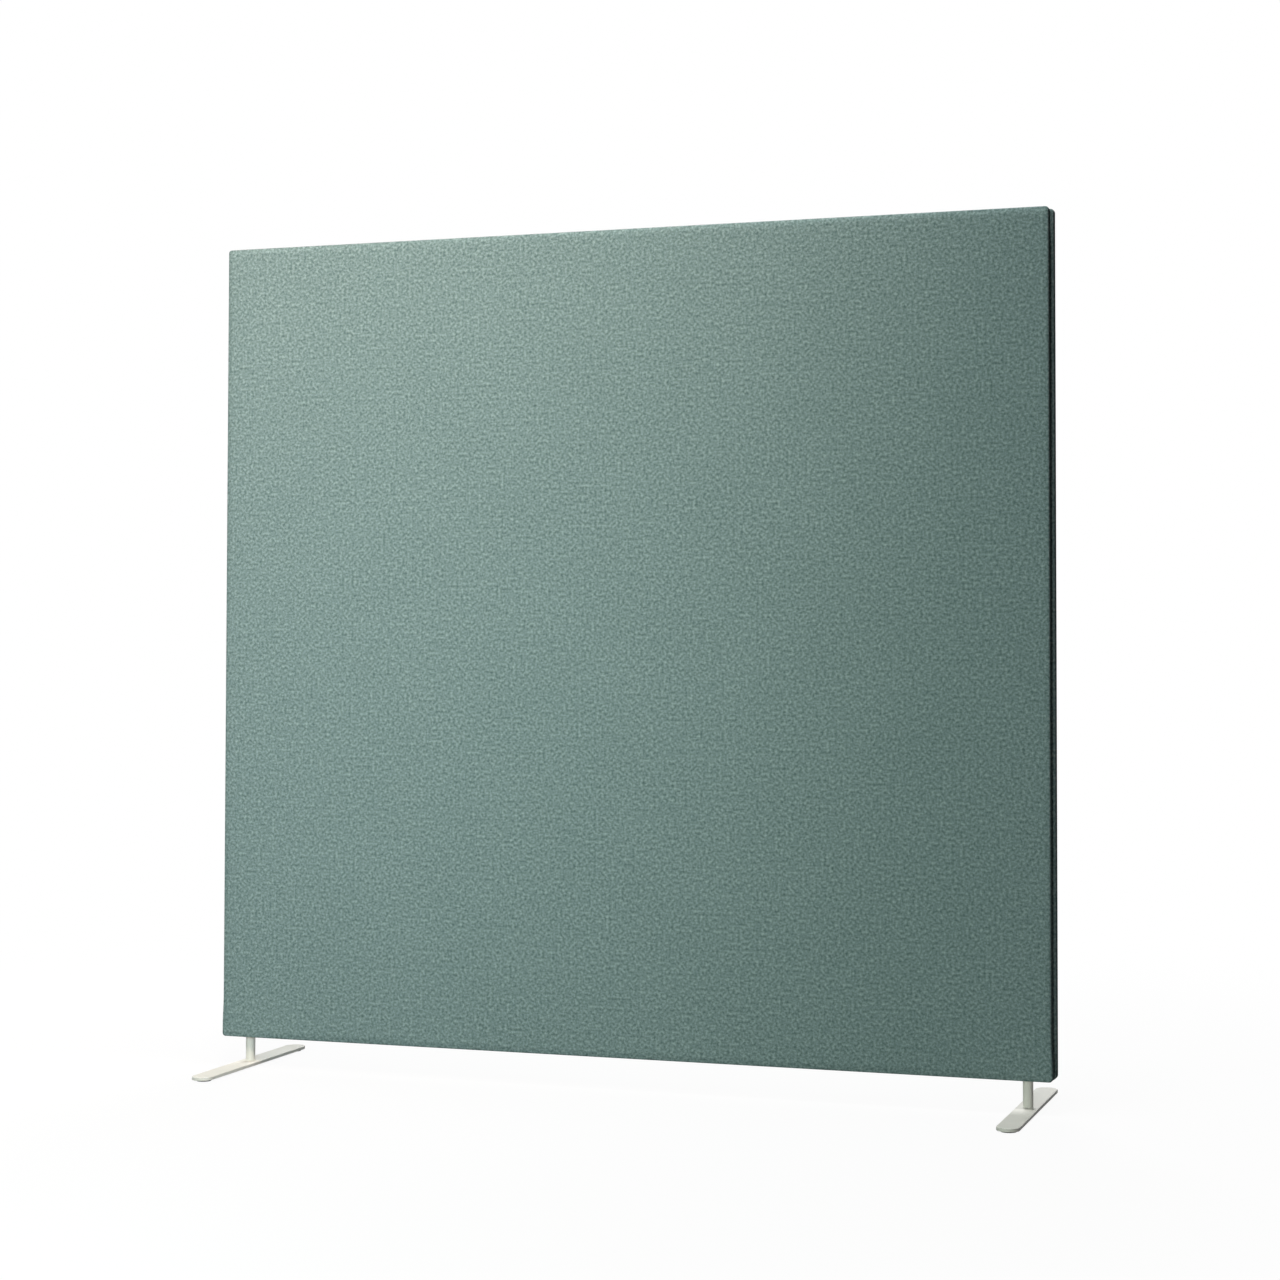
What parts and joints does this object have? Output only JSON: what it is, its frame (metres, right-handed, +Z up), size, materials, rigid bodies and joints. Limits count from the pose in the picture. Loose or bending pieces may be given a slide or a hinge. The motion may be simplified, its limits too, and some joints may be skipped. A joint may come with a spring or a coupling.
{
  "type": "acoustic divider screen",
  "caption": "Upholstered free-standing acoustic screen with a zipped two-part cover over a timber frame, on swivelling flat bar feet with round posts.",
  "frame": {"origin": "on the floor under the middle of the panel", "axes": "+X along the panel to the right seen from the front, +Y from the front face to the rear face, +Z up"},
  "size_m": [1.6, 0.42, 1.5775],
  "materials": {
    "cover_fabric": "melange plain weave, matt",
    "wadding": "bonded polyester wadding",
    "absorber": "pressed fibre slab",
    "timber": "planed softwood",
    "dowel_wood": "fluted beech, drawn plain",
    "hardboard": "smooth hardboard",
    "zip_tape": "woven polyester tape",
    "zip_teeth": "moulded, tone of the tape",
    "zip_metal": "satin",
    "eyelet_metal": "satin",
    "plated_steel": "zinc plated",
    "foot_paint": "semi-gloss powder coat",
    "washer_plastic": "natural nylon",
    "glide_plastic": "matt"
  },
  "bodies": {
    "panel": {"front_cover": "cover_fabric", "rear_cover": "cover_fabric", "front_wadding": "wadding", "rear_wadding": "wadding", "left_stile": "timber", "centre_stile": "timber", "right_stile": "timber", "top_rail": "timber", "bottom_rail": "timber", "frame_dowels": "dowel_wood", "left_septum": "hardboard", "right_septum": "hardboard", "front_left_absorber": "absorber", "front_right_absorber": "absorber", "rear_left_absorber": "absorber", "rear_right_absorber": "absorber", "front_zip_tape": "zip_tape", "rear_zip_tape": "zip_tape", "front_zip_teeth": "zip_teeth", "rear_zip_teeth": "zip_teeth", "zip_top_stops": "zip_metal", "zip_end_box": "zip_metal", "socket_screws": "plated_steel", "left_foot_socket": "plated_steel", "left_eyelet": "eyelet_metal", "right_foot_socket": "plated_steel", "right_eyelet": "eyelet_metal"},
    "left_foot": {"left_foot_plate": "foot_paint", "left_foot_post": "foot_paint", "left_foot_stud": "plated_steel", "left_foot_screw": "plated_steel", "left_friction_washer": "washer_plastic", "left_foot_glides": "glide_plastic"},
    "right_foot": {"right_foot_plate": "foot_paint", "right_foot_post": "foot_paint", "right_foot_stud": "plated_steel", "right_foot_screw": "plated_steel", "right_friction_washer": "washer_plastic", "right_foot_glides": "glide_plastic"},
    "zip_slider": {"zip_slider": "zip_metal"},
    "zip_pull": {"zip_pull": "zip_metal"}
  },
  "joints": [
    {"name": "left_foot_swivel", "type": "hinge", "parent": "panel", "child": "left_foot", "pos_m": [-0.753, 0, 0.058], "axis": [0, 0, 1], "range_deg": [-90, 90]},
    {"name": "right_foot_swivel", "type": "hinge", "parent": "panel", "child": "right_foot", "pos_m": [0.753, 0, 0.058], "axis": [0, 0, 1], "range_deg": [-90, 90]},
    {"name": "zip_slide", "type": "slide", "parent": "panel", "child": "zip_slider", "axis": [0, 0, 1], "range_m": [0, 1.43], "deforming": ["front_zip_teeth", "rear_zip_teeth"]},
    {"name": "zip_pull_swing", "type": "hinge", "parent": "zip_slider", "child": "zip_pull", "pos_m": [-0.79615, 0, 0.1098], "axis": [0, 1, 0], "range_deg": [0, 140]}
  ]
}
